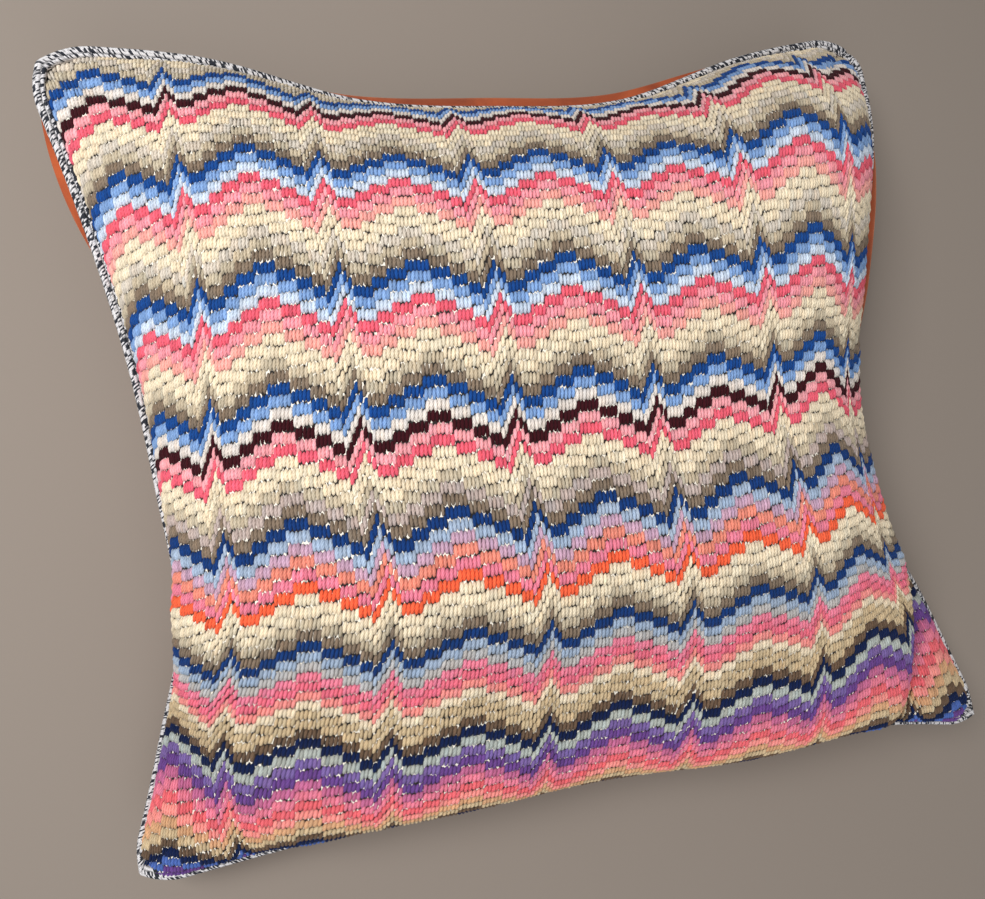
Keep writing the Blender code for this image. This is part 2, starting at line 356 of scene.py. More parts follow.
def seam_plane(x, y):
    """Plan place and seam height under points of the square, between the four sides."""
    plan_x, plan_y = round_corner(x, y)
    right, top = (1 + x) / 2, (1 + y) / 2
    top_in, top_lift = seam_side("top", x)
    bottom_in, bottom_lift = seam_side("bottom", x)
    left_in, left_lift = seam_side("left", y)
    right_in, right_lift = seam_side("right", y)
    place_x = HALF_SIDE * plan_x + (1 - right) * left_in - right * right_in
    place_y = HALF_SIDE * plan_y - top * top_in + (1 - top) * bottom_in
    height = (1 - right) * left_lift + right * right_lift + top * top_lift + (1 - top) * bottom_lift
    for side_x, side_y, move_x, move_y, lift in CORNERS.values():
        weight = (1 + side_x * x) / 2 * (1 + side_y * y) / 2
        place_x = place_x + move_x * MM * weight ** 2
        place_y = place_y + move_y * MM * weight ** 2
        height = height - lift * MM * weight
    return place_x, place_y, SEAM_HEIGHT + height


def bulge(face, x, y):
    """How far the filling pushes a face out in plan near the four sides."""
    def swell(edge, other):
        steps = edge / BULGE_SPAN
        return steps * np.exp(1 - steps) * np.maximum(1 - other * other, 0) ** BULGE_ENDS

    far = {}
    for side, (front, front_slope, back) in BULGES.items():
        along = x if side in ("top", "bottom") else y
        far[side] = (front + front_slope * along if face == "front" else back) * MM
    return (far["right"] * swell(1 - x, y) - far["left"] * swell(1 + x, y),
            far["top"] * swell(1 - y, x) - far["bottom"] * swell(1 + y, x))


def crown(x, y):
    """Points of the needlepoint face, as an array of places."""
    place_x, place_y, height = seam_plane(x, y)
    out_x, out_y = bulge("front", x, y)
    inside = np.maximum((1 - x * x) * (1 - y * y), 0)
    fuller = 1 + CROWN_FULLER_RIGHT * x
    shift = fold_shift(x, y) * np.minimum(inside * FOLDS_FADE, 1)[..., None]
    rise = np.maximum(CROWN_RISE * inside ** CROWN_POWER * fuller + shift[..., 2], 0)
    edge = 1 - np.maximum(np.abs(x), np.abs(y))
    rise = rise + (PANEL_THICKNESS + CLEARANCE) * np.exp(-edge / RIM_LIFT_DEPTH)
    return np.stack((place_x + out_x + shift[..., 0], place_y + out_y + shift[..., 1], height + rise), -1)


def belly(x, y, swell=1):
    """Points of the back panel's outer face, flat where it lies on the surface."""
    place_x, place_y, height = seam_plane(x, y)
    out_x, out_y = bulge("back", x, y)
    inside = np.maximum((1 - x * x) * (1 - y * y), 0)
    height = np.maximum(height - BELLY_DROP * inside ** BELLY_POWER, 0)
    return np.stack((place_x + out_x * swell, place_y + out_y * swell, height), -1)


def velvet_roll(x, y):
    """How far the velvet rolls out in plan just under the piping."""
    out = np.zeros((*np.shape(x), 3))
    for side, start, end, far in ROLLS:
        along = x if side == "top" else y
        share = np.clip((along - (start + end) / 2) / ((end - start) / 2), -1, 1)
        steps = (1 - {"top": y, "left": -x, "right": x}[side]) / ROLL_DEPTH
        amount = far * MM * (1 - share ** 2) * steps * np.exp(1 - steps)
        out[..., 1 if side == "top" else 0] += -amount if side == "left" else amount
    return out


def spread_cloth(across, down):
    """Where a place on the flat cloth lies once the filling has spread it."""
    def spread(along, other):
        tuck = RIM_TUCK * np.sqrt(np.clip(1 - other ** 2, 0, 1))
        edge = 1 - np.abs(along)
        edge = edge * (1 - tuck * np.exp(-edge / RIM_TUCK_DEPTH))
        along = np.sign(along) * (1 - edge)
        stretch = CLOTH_STRETCH * np.sqrt(np.clip(1 - other ** 2, 0, 1))
        return (1 - stretch) * along + stretch * np.sin(np.pi / 2 * along)
    return spread(across, down), spread(down, across)


def beyond_corner(x, y):
    """How far past the round corner of the seam places lie, as a share of its radius."""
    inner = 1 - CORNER_RADIUS / HALF_SIDE
    return np.hypot(np.maximum(np.abs(x) - inner, 0), np.maximum(np.abs(y) - inner, 0)) / (1 - inner)


def straight_rows(x, y):
    """Where straight rows lie on the square, whose rings near the seam have round corners."""
    signs, size_x, size_y = (np.sign(x), np.sign(y)), np.abs(x), np.abs(y)
    full = CORNER_RADIUS / HALF_SIDE
    past = np.maximum(beyond_corner(x, y), 1)
    size_x = np.where(size_x > 1 - full, 1 - full + (size_x - 1 + full) / past, size_x)
    size_y = np.where(size_y > 1 - full, 1 - full + (size_y - 1 + full) / past, size_y)
    low, high = np.maximum(size_x, size_y), np.ones_like(size_x)
    for _ in range(HALVINGS):
        ring = (low + high) / 2
        radius = full * ring ** CORNER_ROUNDING
        over_x, over_y = np.maximum(size_x - ring + radius, 0), np.maximum(size_y - ring + radius, 0)
        outside = np.hypot(over_x, over_y) > radius
        low, high = np.where(outside, ring, low), np.where(outside, high, ring)
    turn = (over_x > 0) & (over_y > 0)
    scale = np.where(turn, radius / np.maximum(np.maximum(over_x, over_y), 1e-9), 1)
    size_x = np.where(turn, ring - radius + over_x * scale, size_x)
    size_y = np.where(turn, ring - radius + over_y * scale, size_y)
    return signs[0] * np.minimum(size_x, 1), signs[1] * np.minimum(size_y, 1)


def cloth_to_crown(across, down):
    """A place on the flat cloth, laid on the crown."""
    x, y = spread_cloth(np.clip(across, -1, 1), np.clip(down, -1, 1))
    for middle_x, middle_y, reach, over, up in PULLS:
        near = np.exp(-((x - middle_x) ** 2 + (y - middle_y) ** 2) / reach ** 2)
        x, y = (x + over * near * np.clip((1 - np.abs(x)) / reach, 0, 1),
                y + up * near * np.clip((1 - np.abs(y)) / reach, 0, 1))
    return crown(*straight_rows(x, y))


def face_frame(face, x, y):
    """Places on a face with its normals, which point up through the cushion."""
    inner_x = np.clip(x, -1 + SLOPE_STEP, 1 - SLOPE_STEP)
    inner_y = np.clip(y, -1 + SLOPE_STEP, 1 - SLOPE_STEP)
    along_x = face(inner_x + SLOPE_STEP, inner_y) - face(inner_x - SLOPE_STEP, inner_y)
    along_y = face(inner_x, inner_y + SLOPE_STEP) - face(inner_x, inner_y - SLOPE_STEP)
    normal = np.cross(along_x, along_y)
    normal /= np.maximum(np.linalg.norm(normal, axis=-1, keepdims=True), 1e-12)
    return face(x, y), normal


def seam_loop(steps, tuck=0):
    """Places for the piping round the seam in order, with the level outward direction at each."""
    lines = np.sin(np.linspace(-1, 1, steps, endpoint=False) * np.pi / 2)
    one = np.ones_like(lines)
    x = np.concatenate((lines, one, -lines, -one))
    y = np.concatenate((-one, lines, one, -lines))
    loop = np.stack(seam_plane(x, y), -1)
    run = np.roll(loop, -1, 0) - np.roll(loop, 1, 0)
    outward = np.stack((run[:, 1], -run[:, 0], np.zeros(len(run))), -1)
    outward /= np.linalg.norm(outward, axis=1, keepdims=True)
    push = np.hypot(*bulge("front", (1 - SEAM_STEP) * x, (1 - SEAM_STEP) * y)) * PIPING_PUSH
    near = sum(np.exp(-((x - side) ** 2 + (y + 1) ** 2) * (HALF_SIDE / EAR_REACH) ** 2) for side in (-1, 1))
    loop[:, 2] += PANEL_THICKNESS + CLEARANCE + PIPING_UP - EAR_DROP * tuck * near
    return loop + outward * (PIPING_OUT + push - tuck * near)[:, None], outward


def plan_middle():
    """The middle of the piping's box in plan, which is the frame's origin."""
    edge = seam_loop(PIPING_STEPS_PER_SIDE)[0][:, :2]
    middle = (edge.min(0) + edge.max(0)) / 2
    return np.array((middle[0], middle[1], 0))


MIDDLE = plan_middle()


# Meshes

def mesh_from_quads(name, points, quads, material, uvs=None):
    """A smooth shaded object from points and four-sided faces, with a UV for each point."""
    mesh = bpy.data.meshes.new(name)
    mesh.vertices.add(len(points))
    mesh.vertices.foreach_set("co", np.asarray(points - MIDDLE, np.float32).ravel())
    mesh.loops.add(quads.size)
    mesh.loops.foreach_set("vertex_index", quads.astype(np.int32).ravel())
    mesh.polygons.add(len(quads))
    mesh.polygons.foreach_set("loop_start", np.arange(0, quads.size, 4, dtype=np.int32))
    mesh.update(calc_edges=True)
    if uvs is not None:
        layer = mesh.uv_layers.new(name="cloth")
        layer.data.foreach_set("uv", np.asarray(uvs[quads.ravel()], np.float32).ravel())
    mesh.shade_smooth()
    mesh.materials.append(material)
    piece = bpy.data.objects.new(name, mesh)
    bpy.context.scene.collection.objects.link(piece)
    return piece


def grid_quads(columns, rows, closed=False):
    """Quads of a grid of points stored row by row, wrapped round in both ways if closed."""
    right = np.arange(columns if closed else columns - 1)
    up = np.arange(rows if closed else rows - 1)
    x, y = np.meshgrid(right, up)
    next_x, next_y = (x + 1) % columns, (y + 1) % rows
    return np.stack((y * columns + x, y * columns + next_x,
                     next_y * columns + next_x, next_y * columns + x), -1).reshape(-1, 4)


def finish_piece(piece, slot, *nodes):
    """Let a piece ride with the cushion and stand for CAD nodes; its slot is not used."""
    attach(piece, BODY)
    if nodes:
        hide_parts(*nodes)
    return piece


# Materials

def wool_material(look):
    """Tapestry wool: matt two-ply yarn whose fibres catch a soft sheen on each plump stitch."""
    material, tree, shader = new_material("tapestry wool")
    yarn = add_node(tree, "ShaderNodeAttribute", attribute_name="yarn")
    thread = add_node(tree, "ShaderNodeUVMap", uv_map="cloth")
    parts = add_node(tree, "ShaderNodeSeparateXYZ", {"Vector": thread.outputs["UV"]})
    # Plies twist round each other about once in a stitch, seen as slanting grooves
    slant = add_node(tree, "ShaderNodeMath", {0: parts.outputs["Y"], 1: PLY_SLANT}, operation="MULTIPLY")
    turned = add_node(tree, "ShaderNodeMath", {0: parts.outputs["X"], 1: slant.outputs[0]}, operation="ADD")
    combed = add_node(tree, "ShaderNodeCombineXYZ", {"X": turned.outputs[0], "Y": parts.outputs["Y"]})
    plies = add_node(tree, "ShaderNodeTexWave", {"Vector": combed.outputs[0], "Scale": 0.32,
                                                 "Distortion": 1.2, "Detail": 2.0, "Detail Scale": 3.0},
                     bands_direction="X")
    place = add_node(tree, "ShaderNodeTexCoord")
    fuzz = add_node(tree, "ShaderNodeTexNoise", {"Vector": place.outputs["Object"], "Scale": 1800.0,
                                                 "Detail": 3.0, "Roughness": 0.7})
    # Painted shade in the grooves between the plies, and painted highlight on their crests
    shade = add_node(tree, "ShaderNodeMapRange", {"Value": plies.outputs["Fac"], "To Min": 0.80,
                                                  "To Max": 1.10})
    mottle = add_node(tree, "ShaderNodeMapRange", {"Value": fuzz.outputs["Fac"], "From Min": 0.3,
                                                   "From Max": 0.7, "To Min": 0.86, "To Max": 1.12})
    both = add_node(tree, "ShaderNodeMath", {0: shade.outputs[0], 1: mottle.outputs[0]},
                    operation="MULTIPLY")
    tint = add_node(tree, "ShaderNodeVectorMath", {0: yarn.outputs["Color"], "Scale": both.outputs[0]},
                    operation="SCALE")
    tree.links.new(tint.outputs[0], shader.inputs["Base Color"])
    depth = add_node(tree, "ShaderNodeMath", {0: plies.outputs["Fac"], 1: fuzz.outputs["Fac"]},
                     operation="ADD")
    bump = add_node(tree, "ShaderNodeBump", {"Height": depth.outputs[0], "Strength": 0.5,
                                             "Distance": WOOL_RELIEF})
    tree.links.new(bump.outputs[0], shader.inputs["Normal"])
    shader.inputs["Roughness"].default_value = look.wool_roughness
    shader.inputs["Sheen Weight"].default_value = 0.05
    shader.inputs["Sheen Roughness"].default_value = 0.5
    shader.inputs["Specular IOR Level"].default_value = 0.15
    return material


def canvas_material(look):
    """Cotton canvas deep between the stitches: painted shade in its holes, with a white thread showing here
    and there.
    """
    material, tree, shader = new_material("cotton canvas")
    place = add_node(tree, "ShaderNodeUVMap", uv_map="cloth")
    patches = add_node(tree, "ShaderNodeTexNoise", {"Vector": place.outputs["UV"], "Scale": 1.1,
                                                    "Detail": 1.0}, noise_dimensions="2D")
    # Painted shade fills the holes; the white canvas thread shows where the noise is high
    thread = add_node(tree, "ShaderNodeMapRange", {"Value": patches.outputs["Fac"], "From Min": 0.52,
                                                   "From Max": 0.58})
    mix = add_node(tree, "ShaderNodeMix", {"Factor": thread.outputs[0]}, data_type="RGBA")
    mix.inputs["A"].default_value = (*look.canvas_hole_shade, 1)
    mix.inputs["B"].default_value = (*look.canvas, 1)
    tree.links.new(mix.outputs["Result"], shader.inputs["Base Color"])
    shader.inputs["Roughness"].default_value = 0.9
    return material


def velvet_material(look):
    """Cotton velvet: dense upright pile in patches of painted shade and painted highlight, bright at a
    glance.
    """
    material, tree, shader = new_material("cotton velvet")
    place = add_node(tree, "ShaderNodeTexCoord")
    strokes = add_node(tree, "ShaderNodeTexNoise", {"Vector": place.outputs["Object"], "Scale": 22.0,
                                                    "Detail": 4.0, "Roughness": 0.6, "Distortion": 0.8})
    pile = add_node(tree, "ShaderNodeTexNoise", {"Vector": place.outputs["Object"], "Scale": 2600.0,
                                                 "Detail": 2.0})
    # Painted shade and painted highlight: patches of the pile mixed between a darker and a lighter copy of
    # the velvet
    pile_shade_mask = add_node(tree, "ShaderNodeMapRange", {"Value": strokes.outputs["Fac"], "From Min": 0.35,
                                                    "From Max": 0.68})
    mix = add_node(tree, "ShaderNodeMix", {"Factor": pile_shade_mask.outputs[0]}, data_type="RGBA")
    mix.inputs["A"].default_value = (*look.velvet_painted_shade, 1)
    mix.inputs["B"].default_value = (*look.velvet, 1)
    tree.links.new(mix.outputs["Result"], shader.inputs["Base Color"])
    bump = add_node(tree, "ShaderNodeBump", {"Height": pile.outputs["Fac"], "Strength": 0.5,
                                             "Distance": CLOTH_RELIEF})
    tree.links.new(bump.outputs[0], shader.inputs["Normal"])
    shader.inputs["Roughness"].default_value = 0.95
    shader.inputs["Sheen Weight"].default_value = 0.8
    shader.inputs["Sheen Roughness"].default_value = 0.35
    shader.inputs["Sheen Tint"].default_value = (*look.velvet_sheen, 1)
    return material


def piping_material(look):
    """Black and white flecked cotton over cord: short slanting floats of yarn in two rows."""
    material, tree, shader = new_material("flecked cotton")
    place = add_node(tree, "ShaderNodeUVMap", uv_map="cloth")
    parts = add_node(tree, "ShaderNodeSeparateXYZ", {"Vector": place.outputs["UV"]})
    # UV is in millimetres along and round the cord
    lean = add_node(tree, "ShaderNodeMath", {0: parts.outputs["Y"], 1: FLOAT_LEAN}, operation="MULTIPLY")
    slid = add_node(tree, "ShaderNodeMath", {0: parts.outputs["X"], 1: lean.outputs[0]}, operation="ADD")
    flat = add_node(tree, "ShaderNodeCombineXYZ", {"X": slid.outputs[0], "Y": parts.outputs["Y"]})
    scaled = add_node(tree, "ShaderNodeVectorMath", {0: flat.outputs[0], 1: FLOATS_PER_MM},
                      operation="MULTIPLY")
    floats = add_node(tree, "ShaderNodeTexVoronoi", {"Vector": scaled.outputs[0], "Scale": 1.0,
                                                     "Randomness": 0.45}, voronoi_dimensions="2D")
    grey = add_node(tree, "ShaderNodeSeparateColor", {"Color": floats.outputs["Color"]})
    dark = add_node(tree, "ShaderNodeMapRange", {"Value": grey.outputs[0], "From Min": 0.36,
                                                 "From Max": 0.52})
    mix = add_node(tree, "ShaderNodeMix", {"Factor": dark.outputs[0]}, data_type="RGBA")
    mix.inputs["A"].default_value = (*look.piping_dark, 1)
    mix.inputs["B"].default_value = (*look.piping_light, 1)
    # Painted shade at the edges of each float, and in the groove between the cord and the flange
    edge = add_node(tree, "ShaderNodeMapRange", {"Value": floats.outputs["Distance"], "From Min": 0.25,
                                                 "From Max": 0.70, "To Min": 1.0, "To Max": 0.45})
    outline = np.array(PIPING_OUTLINE)
    groove = np.linalg.norm(np.diff(outline[:GROOVE_POINT + 1], axis=0), axis=1).sum()
    away = add_node(tree, "ShaderNodeMath", {0: parts.outputs["Y"], 1: groove}, operation="SUBTRACT")
    apart = add_node(tree, "ShaderNodeMath", {0: away.outputs[0]}, operation="ABSOLUTE")
    groove_shade = add_node(tree, "ShaderNodeMapRange", {"Value": apart.outputs[0], "From Max": GROOVE_HALF_WIDTH,
                                                 "To Min": 0.12})
    both = add_node(tree, "ShaderNodeMath", {0: edge.outputs[0], 1: groove_shade.outputs[0]}, operation="MULTIPLY")
    shaded = add_node(tree, "ShaderNodeVectorMath", {0: mix.outputs["Result"], "Scale": both.outputs[0]},
                      operation="SCALE")
    tree.links.new(shaded.outputs[0], shader.inputs["Base Color"])
    bump = add_node(tree, "ShaderNodeBump", {"Height": floats.outputs["Distance"], "Strength": 0.6,
                                             "Distance": CLOTH_RELIEF}, invert=True)
    tree.links.new(bump.outputs[0], shader.inputs["Normal"])
    shader.inputs["Roughness"].default_value = 0.85
    return material


def floor_material(look):
    """Plain pale matt paint."""
    material, _, shader = new_material("pale matt paint")
    shader.inputs["Base Color"].default_value = (*look.floor, 1)
    shader.inputs["Roughness"].default_value = 0.9
    return material


# Stitches

def chart_shift(columns, first_spike):
    """Quarter stitches down for each column of the canvas."""
    repeat = np.concatenate([np.full(count, down) for count, down in CHART])
    return repeat[(np.arange(columns) - first_spike) % len(repeat)]


def stitch_table(sizes):
    """Where each stitch lies on the cloth: its middle, top and bottom, and its row."""
    pitch = 2 / sizes.columns
    row_height = 2 / sizes.rows
    shift = chart_shift(sizes.columns, sizes.first_spike) / QUARTERS
    table = []
    for row in range(-len(ROWS_ABOVE), len(ROWS)):
        top = 1 - (row + shift) * row_height
        bottom = top - row_height
        middle = -1 + (np.arange(sizes.columns) + 0.5) * pitch
        least = LEAST_STITCH * row_height
        keep = (top > -1 + least) & (bottom < 1 - least)
        keep &= beyond_corner(*spread_cloth(middle, np.clip((top + bottom) / 2, -1, 1))) < 1
        rows = np.stack((middle, np.clip(top, -1, 1), np.clip(bottom, -1, 1),
                         np.full(sizes.columns, row)), -1)
        table.append(rows[keep])
    return np.concatenate(table)


def wool_numbers(rows):
    """The number of the wool of each row, counted from the top seam."""
    names = list(YARNS)
    wools = np.array([names.index(name) for name in ROWS_ABOVE + ROWS])
    return wools[np.clip(rows + len(ROWS_ABOVE), 0, len(wools) - 1)]


def stitch_points(table, sizes, rng):
    """Points, quads, UVs and colours of a joined run of stitches."""
    count = len(table)
    half = 1 / sizes.columns
    along, widths, heights = np.array(STITCH_ALONG).T[:3]
    across, plump = np.array(STITCH_ACROSS).T[:2]
    middle, top, bottom, row = table.T
    slack_wools = [list(YARNS).index(name) for name in SLACK_WOOLS]
    slack = np.isin(wool_numbers(row.astype(int)), slack_wools)
    wide = np.where(slack, SLACK, 1) + rng.normal(0, UNEVEN_WIDTH, count)
    high = 1 + rng.normal(0, UNEVEN_HEIGHT, count)
    lean = rng.normal(STITCH_LEAN, UNEVEN_LEAN, count) * half
    slip = rng.normal(0, UNEVEN_ENDS, count) * (2 / sizes.rows)
    shape = (count, len(along), len(across))
    place_x = (middle[:, None, None] + half * (wide[:, None] * widths)[:, :, None] * across
               + (lean[:, None] * (along - 0.5) * 2)[:, :, None])
    place_y = np.broadcast_to((top + slip)[:, None, None]
                              + (bottom - top)[:, None, None] * along[None, :, None], shape)
    rise = (high[:, None] * heights)[:, :, None] * plump * sizes.stitch_height
    rise = np.where(heights[None, :, None] < 0, heights[None, :, None] * sizes.stitch_height, rise)
    points, normal = face_frame(cloth_to_crown, place_x.ravel(), place_y.ravel())
    points = points + normal * rise.reshape(-1, 1)
    block = grid_quads(len(across), len(along))[:, ::-1]
    size = len(along) * len(across)
    quads = (block[None] + np.arange(count)[:, None, None] * size).reshape(-1, 4)
    turn = rng.uniform(0, YARN_START, count)
    u = np.broadcast_to(across[None, None, :], shape) + turn[:, None, None]
    v = np.broadcast_to(along[None, :, None] * YARN_IN_STITCH, shape) + turn[:, None, None]
    uvs = np.stack((u.ravel(), v.ravel()), -1)
    return points, quads, uvs, size


def stitch_colours(table, rng, yarns, size):
    """A colour for each stitch's points: its wool, a little lighter or darker, with painted shade at its ends
    and sides.
    """
    wools = np.array([list(getattr(yarns, name)) for name in YARNS])
    row = table[:, 3].astype(int)
    own = wools[wool_numbers(row)]
    value = 1 + rng.normal(0, UNEVEN_SHADE, len(table))
    warm = rng.normal(0, UNEVEN_WARMTH, len(table))
    own = own * value[:, None] * np.stack((1 + warm, np.ones(len(table)), 1 - warm), -1)
    along, across = np.array(STITCH_ALONG), np.array(STITCH_ACROSS)
    beyond = np.where(along[:, 0] < 0.5, -1, 1)
    neighbour = wools[wool_numbers(row[:, None] + beyond[None, :])]
    # Painted shade at the ends, partly the darker next wool showing: each end takes the darker of its own and
    # the next row's wool
    share = along[None, :, 4, None]
    colour = own[:, None, :] * (1 - share) + np.minimum(neighbour, own[:, None, :]) * share
    # Painted shade: darker at the stitch's ends and along its sides, where shade falls between stitches
    full = colour[:, :, None, :] * along[None, :, 3, None, None] * across[None, None, :, 2, None]
    full = np.clip(full, 0, 1).reshape(len(table), size, 3)
    return np.concatenate((full, np.ones((len(table), size, 1))), -1).reshape(-1, 4)


# Property groups

class CushionSizes(bpy.types.PropertyGroup):
    """Counts and sizes of the stitching and the trim."""

    columns: IntProperty(name="Columns", description="Stitch columns across the canvas", default=259, min=39)
    rows: IntProperty(name="Rows", description="Stitch rows from the top seam to the bottom one",
                      default=80, min=10)
    first_spike: IntProperty(name="First spike", description="Column of the first spike of the chart",
                             default=33, min=0)
    stitch_height: FloatProperty(name="Stitch height", description="How far a stitch stands off the canvas",
                                 default=1.3 * MM, unit="LENGTH")
    stitch_pieces: IntProperty(name="Stitch pieces", description="Pieces that the stitches are joined into",
                               default=4, min=1)


class CushionLook(bpy.types.PropertyGroup):
    """Colours and finish of everything but the wools."""

    canvas: FloatVectorProperty(name="Canvas", description="Cotton canvas threads", subtype="COLOR",
                                default=linear("EFE8DA"))
    # Painted shade: the dark colour laid in the holes of the canvas between the stitches
    canvas_hole_shade: FloatVectorProperty(name="Canvas hole shade", description="Dark holes of the canvas",
                                     subtype="COLOR", default=linear("1A1411"))
    # The velvet and its darker copy are mixed in patches, as painted highlight and painted shade
    velvet: FloatVectorProperty(name="Velvet", description="Velvet pile, brushed", subtype="COLOR",
                                default=linear("B5552B"))
    velvet_painted_shade: FloatVectorProperty(name="Velvet shade", description="Velvet pile, face on", subtype="COLOR",
                                     default=linear("8A3A1C"))
    velvet_sheen: FloatVectorProperty(name="Velvet sheen", description="Velvet pile, at a glance",
                                      subtype="COLOR", default=linear("F0A27A"))
    piping_dark: FloatVectorProperty(name="Piping black", description="Black yarn of the piping",
                                     subtype="COLOR", default=linear("20242F"))
    piping_light: FloatVectorProperty(name="Piping white", description="White yarn of the piping",
                                      subtype="COLOR", default=linear("E6E3E4"))
    floor: FloatVectorProperty(name="Floor", description="Pale floor", subtype="COLOR",
                               default=linear("8F847A"))
    wool_roughness: FloatProperty(name="Wool roughness", description="Roughness of the wool",
                                  default=0.85, min=0, max=1)


class YarnColours(bpy.types.PropertyGroup):
    """One colour for each tapestry wool."""

    __annotations__ = {
        wool: FloatVectorProperty(name=wool.replace("_", " ").capitalize(), default=linear(colour),
                                  description="Colour of this tapestry wool", subtype="COLOR")
        for wool, colour in YARNS.items()
    }


# Operators

class CUSHION_OT_ground(bpy.types.Operator):
    """Lay the canvas over the filled form and close it underneath"""

    bl_idname = "cushion.ground"
    bl_label = "Canvas and filling"

    def execute(self, context):
        """Make the padded body that the stitches cover."""
        sizes = context.scene.cushion_sizes
        columns, rows = GROUND_STEPS[0] + 1, GROUND_STEPS[1] + 1
        x, y = np.meshgrid(np.linspace(-1, 1, columns), np.linspace(-1, 1, rows))
        square = spread_cloth(x.ravel(), y.ravel())
        above = crown(*square)
        below = belly(*square, UNDERSIDE_SWELL) + (0, 0, PANEL_THICKNESS + 2 * CLEARANCE)
        rim = ((np.abs(x) == 1) | (np.abs(y) == 1)).ravel()
        below[rim] = above[rim]
        quads = grid_quads(columns, rows)
        both = np.concatenate((quads, quads[:, ::-1] + len(above)))
        uvs = np.stack(((x.ravel() + 1) / 2 * sizes.columns, (y.ravel() + 1) / 2 * sizes.rows), -1)
        piece = mesh_from_quads("canvas_ground", np.concatenate((above, below)), both,
                                canvas_material(context.scene.cushion_look), np.concatenate((uvs, uvs)))
        shape = bmesh.new()
        shape.from_mesh(piece.data)
        bmesh.ops.remove_doubles(shape, verts=shape.verts, dist=MERGE_DISTANCE)
        shape.to_mesh(piece.data)
        shape.free()
        finish_piece(piece, "needlepoint", "filled_cushion")
        return {"FINISHED"}


class CUSHION_OT_stitches(bpy.types.Operator):
    """Work the flame stitch over the canvas, one wool stitch at a time"""

    bl_idname = "cushion.stitches"
    bl_label = "Flame stitch"

    def execute(self, context):
        """Make the stitches as a few joined pieces, from the top seam down."""
        sizes = context.scene.cushion_sizes
        rng = np.random.default_rng(SEED)
        table = stitch_table(sizes)
        table = table[np.argsort(-table[:, 1], kind="stable")]
        material = wool_material(context.scene.cushion_look)
        for number, part in enumerate(np.array_split(table, sizes.stitch_pieces), 1):
            points, quads, uvs, size = stitch_points(part, sizes, rng)
            piece = mesh_from_quads(f"stitches_{number}", points, quads, material, uvs)
            colours = stitch_colours(part, rng, context.scene.cushion_yarns, size)
            layer = piece.data.color_attributes.new("yarn", "FLOAT_COLOR", "POINT")
            layer.data.foreach_set("color", colours.astype(np.float32).ravel())
            finish_piece(piece, "needlepoint")
        return {"FINISHED"}


class CUSHION_OT_back(bpy.types.Operator):
    """Sew the velvet back panel under the cushion"""

    bl_idname = "cushion.back"
    bl_label = "Velvet back"

    def execute(self, context):
        """Make the back panel as a thin sheet up to the seam."""
        steps = VELVET_STEPS + 1
        lines = np.sin(np.linspace(-1, 1, steps) * np.pi / 2)
        x, y = np.meshgrid(lines, lines)
        outer = belly(x.ravel(), y.ravel()) + velvet_roll(x.ravel(), y.ravel())
        quads = grid_quads(steps, steps)[:, ::-1]
        uvs = np.stack((x.ravel(), y.ravel()), -1)
        piece = mesh_from_quads("velvet_back", outer, quads, velvet_material(context.scene.cushion_look), uvs)
        bpy.ops.object.select_all(action="DESELECT")
        piece.select_set(True)
        context.view_layer.objects.active = piece
        wall = piece.modifiers.new("cloth", "SOLIDIFY")
        wall.thickness = PANEL_THICKNESS
        wall.offset = -1
        bpy.ops.object.modifier_apply(modifier="cloth")
        finish_piece(piece, "velvet_back", "back_panel")
        return {"FINISHED"}


class CUSHION_OT_piping(bpy.types.Operator):
    """Sew the flecked piping into the seam"""

    bl_idname = "cushion.piping"
    bl_label = "Flecked piping"

    def execute(self, context):
        """Make the piping as a closed cord with its sewn flange along the inner side."""
        middle, outward = seam_loop(PIPING_STEPS_PER_SIDE, EAR_TUCK)
        up = np.array((0, 0, 1.0))
        ring = np.array([row[:2] for row in PIPING_OUTLINE]) * MM
        sides = len(ring)
        points = (middle[:, None, :] + outward[:, None, :] * ring[None, :, 0, None]
                  + up * ring[None, :, 1, None])
        run = np.linalg.norm(np.roll(middle, -1, 0) - middle, axis=1)
        length = np.concatenate(([0], np.cumsum(run)))[:-1] / MM
        count = len(middle)
        quads = grid_quads(sides, count, closed=True)[:, ::-1]
        steps = np.linalg.norm(np.roll(ring, -1, 0) - ring, axis=1) / MM
        around = np.concatenate(([0], np.cumsum(steps)))[:-1]
        uvs = np.stack(np.broadcast_arrays(length[:, None], around[None, :]), -1).reshape(-1, 2)
        piece = mesh_from_quads("piping_cord", points.reshape(-1, 3), quads,
                                piping_material(context.scene.cushion_look), uvs)
        layer = piece.data.uv_layers["cloth"].data
        values = np.empty(len(layer) * 2, np.float32)
        layer.foreach_get("uv", values)
        values = values.reshape(-1, 4, 2)
        whole = np.array((length[-1] + run[-1] / MM, steps.sum()))
        # The faces that close the ring run on past the end instead of back to the start
        wrapped = (values.max(1, keepdims=True) - values) > whole / 2
        values = values + wrapped * whole
        layer.foreach_set("uv", values.astype(np.float32).ravel())
        finish_piece(piece, "piping", "piping")
        return {"FINISHED"}


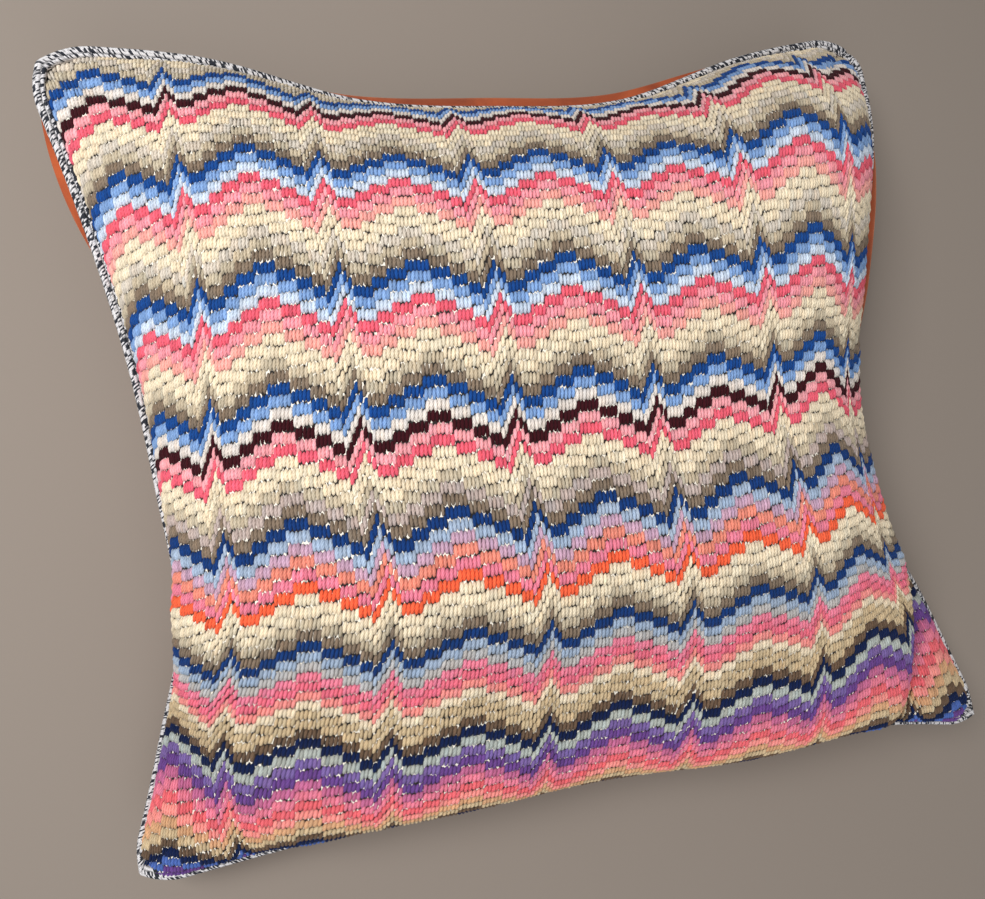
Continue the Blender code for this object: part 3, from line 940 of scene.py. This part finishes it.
class CUSHION_OT_stage(bpy.types.Operator):
    """Set the floor, the soft lights and the camera"""

    bl_idname = "cushion.stage"
    bl_label = "Floor, lights and camera"

    def execute(self, context):
        """Make the floor, the lights and the camera."""
        bpy.ops.object.select_all(action="DESELECT")
        bpy.ops.mesh.primitive_plane_add(size=FLOOR_SIZE, location=(0, 0, -FLOOR_DROP))
        floor = context.active_object
        floor.name = "floor"
        floor.data.materials.append(floor_material(context.scene.cushion_look))
        world = bpy.data.worlds.new("studio")
        world.use_nodes = True
        world.node_tree.nodes["Background"].inputs["Color"].default_value = (1, 1, 1, 1)
        world.node_tree.nodes["Background"].inputs["Strength"].default_value = WORLD_LIGHT
        context.scene.world = world
        context.scene.view_settings.view_transform = "Standard"
        for name, place, size, power in LIGHTS:
            lamp = bpy.data.lights.new(name, "AREA")
            lamp.size = size
            lamp.energy = power
            light = bpy.data.objects.new(name, lamp)
            light.location = place
            light.rotation_euler = (-Vector(place)).to_track_quat("-Z", "Y").to_euler()
            context.scene.collection.objects.link(light)
        self.add_camera(context)
        return {"FINISHED"}

    def add_camera(self, context):
        """Place the camera where the picture was taken from, turned as it was."""
        data = bpy.data.cameras.new("camera")
        data.sensor_width = SENSOR
        data.lens = FOCAL_PIXELS / IMAGE_WIDTH * SENSOR
        data.clip_start = CAMERA_NEAR
        camera = bpy.data.objects.new("camera", data)
        level = math.cos(CAMERA_ELEVATION)
        back = Vector((-math.sin(CAMERA_AZIMUTH) * level, math.cos(CAMERA_AZIMUTH) * level,
                       math.sin(CAMERA_ELEVATION)))
        right = (-back).cross(Vector((0, 1, 0))).normalized()
        up = right.cross(-back)
        cosine, sine = math.cos(CAMERA_ROLL), math.sin(CAMERA_ROLL)
        turned_right = right * cosine + up * sine
        turned_up = up * cosine - right * sine
        place = Vector(CAMERA_TARGET) + back * CAMERA_DISTANCE - Vector(MIDDLE)
        turn = Matrix((turned_right, turned_up, back)).transposed().to_4x4()
        camera.matrix_world = Matrix.Translation(place) @ turn
        context.scene.collection.objects.link(camera)
        context.scene.camera = camera


class CUSHION_PT_panel(bpy.types.Panel):
    """Sidebar panel with the cushion's pieces"""

    bl_idname = "CUSHION_PT_panel"
    bl_label = "Needlepoint cushion"
    bl_space_type = "VIEW_3D"
    bl_region_type = "UI"
    bl_category = "Cushion"

    def draw(self, context):
        """List the operators and the settings."""
        for operator in OPERATORS:
            self.layout.operator(operator.bl_idname)
        for group in ("cushion_sizes", "cushion_look"):
            settings = getattr(context.scene, group)
            for name in settings.__annotations__:
                self.layout.prop(settings, name)


GROUPS = {"cushion_sizes": CushionSizes, "cushion_look": CushionLook, "cushion_yarns": YarnColours}
OPERATORS = (CUSHION_OT_ground, CUSHION_OT_stitches, CUSHION_OT_back, CUSHION_OT_piping, CUSHION_OT_stage)
CLASSES = (*GROUPS.values(), *OPERATORS, CUSHION_PT_panel)


def register():
    """Register the classes and hang the settings on the scene."""
    for kind in CLASSES:
        bpy.utils.register_class(kind)
    for name, group in GROUPS.items():
        setattr(bpy.types.Scene, name, PointerProperty(type=group))


def unregister():
    """Take the settings and the classes away again."""
    for name in GROUPS:
        delattr(bpy.types.Scene, name)
    for kind in reversed(CLASSES):
        bpy.utils.unregister_class(kind)


def main():
    """Build the cushion's looks."""
    register()
    bpy.ops.cushion.ground()
    bpy.ops.cushion.stitches()
    bpy.ops.cushion.back()
    bpy.ops.cushion.piping()
    bpy.ops.cushion.stage()


if __name__ == "__main__":
    main()
